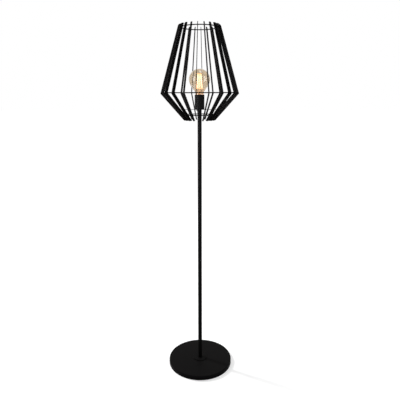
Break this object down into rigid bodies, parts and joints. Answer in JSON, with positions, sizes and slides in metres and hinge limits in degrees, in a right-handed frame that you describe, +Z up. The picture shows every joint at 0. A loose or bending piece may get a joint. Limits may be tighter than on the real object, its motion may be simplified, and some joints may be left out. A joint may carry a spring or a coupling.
{
  "type": "floor lamp",
  "caption": "Floor lamp: slim pole on a round base carries an open double-tapered cage of flat bent bars round a clear globe bulb.",
  "frame": {"origin": "on the floor, on the axis of the pole", "axes": "+Z up; the lead enters the base at the back, on +Y; the picture looks from the front, along +Y, with +X to its right"},
  "size_m": [0.3516, 0.3516, 1.6229],
  "materials": {
    "black_coat": "satin black powder coat",
    "cast_iron": "rough, dark",
    "felt": "black felt",
    "zinc_steel": "zinc plated",
    "black_rubber": "matte",
    "lead_sheath": "matte flexible sheath",
    "core_brown": "matte",
    "core_blue": "matte",
    "holder_plastic": "moulded, matte",
    "ceramic_white": "unglazed",
    "brass_parts": "stamped",
    "bulb_glass": "clear, gold tinted, polished",
    "bulb_cap": "thin stamped metal",
    "cap_glass": "opaque black glass",
    "solder": "dull solder",
    "stem_glass": "clear",
    "filament_glow": "glowing wire",
    "hook_wire": "drawn wire"
  },
  "bodies": {
    "stand": {"base_cover": "black_coat", "base_weight": "cast_iron", "base_pad": "felt", "foot_disc": "black_coat", "clamp_washer": "zinc_steel", "ring_nut": "zinc_steel", "cord_bush": "black_rubber", "pole": "black_coat", "pole_plug": "zinc_steel", "threaded_tube": "zinc_steel", "inner_lead": "lead_sheath", "core_live": "core_brown", "core_neutral": "core_blue", "cage_carrier": "black_coat", "ring_top": "black_coat", "ring_middle": "black_coat", "ring_bottom": "black_coat", "slat_01": "black_coat", "slat_02": "black_coat", "slat_03": "black_coat", "slat_04": "black_coat", "slat_05": "black_coat", "slat_06": "black_coat", "slat_07": "black_coat", "slat_08": "black_coat", "slat_09": "black_coat", "slat_10": "black_coat", "slat_11": "black_coat", "slat_12": "black_coat", "slat_13": "black_coat", "slat_14": "black_coat", "slat_15": "black_coat", "slat_16": "black_coat", "slat_17": "black_coat", "slat_18": "black_coat", "slat_19": "black_coat", "slat_20": "black_coat", "holder_cup": "black_coat", "cup_nut": "zinc_steel", "holder_lower": "holder_plastic", "holder_upper": "holder_plastic", "ceramic_deck": "ceramic_white", "screw_shell": "brass_parts", "centre_contact": "brass_parts", "terminal_blocks": "brass_parts", "terminal_screws": "zinc_steel"},
    "bulb_foot": {"solder_tip": "solder"},
    "bulb": {"bulb_glass": "bulb_glass", "bulb_cap": "bulb_cap", "cap_insulator": "cap_glass", "glass_stem": "stem_glass", "filament": "filament_glow", "filament_hooks": "hook_wire", "stem_leads": "hook_wire"}
  },
  "joints": [
    {"name": "bulb_lift", "type": "slide", "parent": "stand", "child": "bulb_foot", "axis": [0, 0, 1], "range_m": [0, 0.0182]},
    {"name": "bulb_turn", "type": "hinge", "parent": "bulb_foot", "child": "bulb", "pos_m": [0, 0, 1.2862], "axis": [0, 0, 1], "range_deg": [0, 1800]}
  ],
  "couplings": [
    {"joint": "bulb_lift", "follows": "bulb_turn", "m_per_rad": 0.00057757}
  ]
}
